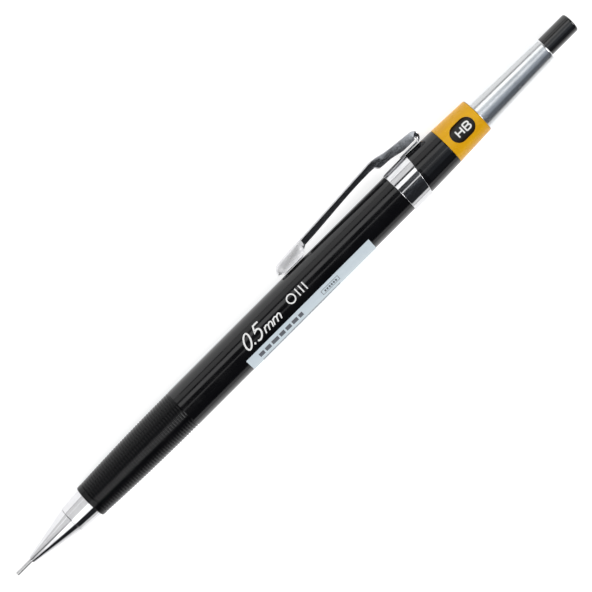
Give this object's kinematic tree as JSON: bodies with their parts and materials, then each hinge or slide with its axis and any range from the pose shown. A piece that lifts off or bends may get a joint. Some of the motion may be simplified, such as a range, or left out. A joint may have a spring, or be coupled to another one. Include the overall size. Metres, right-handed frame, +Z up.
{
  "type": "mechanical pencil",
  "caption": "Push-button drafting pencil for 0.5 mm leads: tapering chrome nose, ribbed black barrel, sprung pocket clip, yellow lead-grade ring, satin sleeve and button over an eraser",
  "frame": {"origin": "The mouth of the lead pipe, on the pencil's axis. The pencil lies on a table, on the clip's band and arch, so the table is 4.45 mm below the origin.", "axes": "+X runs along the pencil from the writing tip to the button, +Z is up, and the clip points to +Y and 18 degrees below level, as it does when the pencil has rolled to rest."},
  "size_m": [0.145, 0.0127, 0.0088],
  "materials": {
    "pipe_steel": "drawn stainless tube, satin",
    "nose_chrome": "turned and bright plated",
    "collar_chrome": "turned and bright plated",
    "retainer_rubber": "soft black rubber",
    "brass": "turned brass",
    "spring_steel": "drawn spring wire",
    "joint_plastic": "moulded, matt",
    "tube_plastic": "extruded, milky",
    "graphite": "polymer graphite, dull sheen",
    "barrel_plastic": "moulded, polished black",
    "label_paper": "smooth pale sticker",
    "clip_chrome": "stamped sheet, bright plated",
    "drum_plastic": "moulded black, white printing",
    "ring_plastic": "moulded yellow, satin gloss",
    "sleeve_aluminium": "turned, satin anodised",
    "button_plastic": "moulded, polished black",
    "eraser_rubber": "white vinyl eraser",
    "cup_steel": "drawn thin cup"
  },
  "bodies": {
    "body": {"barrel": "barrel_plastic", "nose_collar": "collar_chrome", "chuck_housing": "brass", "return_spring": "spring_steel", "clip_band": "clip_chrome", "paper_label": "label_paper", "grade_drum": "drum_plastic", "rear_sleeve": "sleeve_aluminium"},
    "tip": {"lead_pipe": "pipe_steel", "lead_retainer": "retainer_rubber"},
    "nose": {"nose_cone": "nose_chrome"},
    "clip": {"clip_arm": "clip_chrome"},
    "grade_ring": {"grade_ring": "ring_plastic"},
    "closing_ring": {"chuck_ring": "brass"},
    "plunger": {"lead_tube": "tube_plastic", "tube_joint": "joint_plastic", "chuck": "brass", "spare_leads": "graphite"},
    "lead": {"writing_lead": "graphite"},
    "eraser": {"eraser": "eraser_rubber", "eraser_cup": "cup_steel", "clean_out_pin": "cup_steel"},
    "cap": {"push_button": "button_plastic"}
  },
  "joints": [
    {"name": "button_press", "type": "slide", "parent": "body", "child": "plunger", "axis": [-1, 0, 0], "range_m": [0, 0.003], "stiffness_N_per_m": 900, "springref_m": -0.0025, "deforming": ["return_spring"]},
    {"name": "chuck_ring_travel", "type": "slide", "parent": "body", "child": "closing_ring", "axis": [-1, 0, 0], "range_m": [0, 0.00066]},
    {"name": "lead_feed", "type": "slide", "parent": "closing_ring", "child": "lead", "axis": [-1, 0, 0], "range_m": [0, 0.006]},
    {"name": "nose_advance", "type": "slide", "parent": "body", "child": "tip", "axis": [-1, 0, 0], "range_m": [0, 0.0035]},
    {"name": "nose_turn", "type": "hinge", "parent": "tip", "child": "nose", "pos_m": [0.0144, 0, 0], "axis": [-1, 0, 0], "range_deg": [0, 2520]},
    {"name": "grade_ring_turn", "type": "hinge", "parent": "body", "child": "grade_ring", "pos_m": [0.1163, 0, 0], "axis": [1, 0, 0], "continuous": true},
    {"name": "clip_spring_open", "type": "hinge", "parent": "body", "child": "clip", "pos_m": [0.109, 0.00517, -0.00168], "axis": [0, -0.3087, -0.9512], "range_deg": [0, 4], "stiffness_Nm_per_rad": 1, "springref_deg": -2.86},
    {"name": "eraser_pull", "type": "slide", "parent": "plunger", "child": "eraser", "axis": [1, 0, 0], "range_m": [0, 0.03]},
    {"name": "cap_pull", "type": "slide", "parent": "eraser", "child": "cap", "axis": [1, 0, 0], "range_m": [0, 0.016]}
  ],
  "couplings": [
    {"joint": "chuck_ring_travel", "follows": "button_press", "ratio": 0.22},
    {"joint": "nose_turn", "follows": "nose_advance", "rad_per_m": 12566}
  ]
}
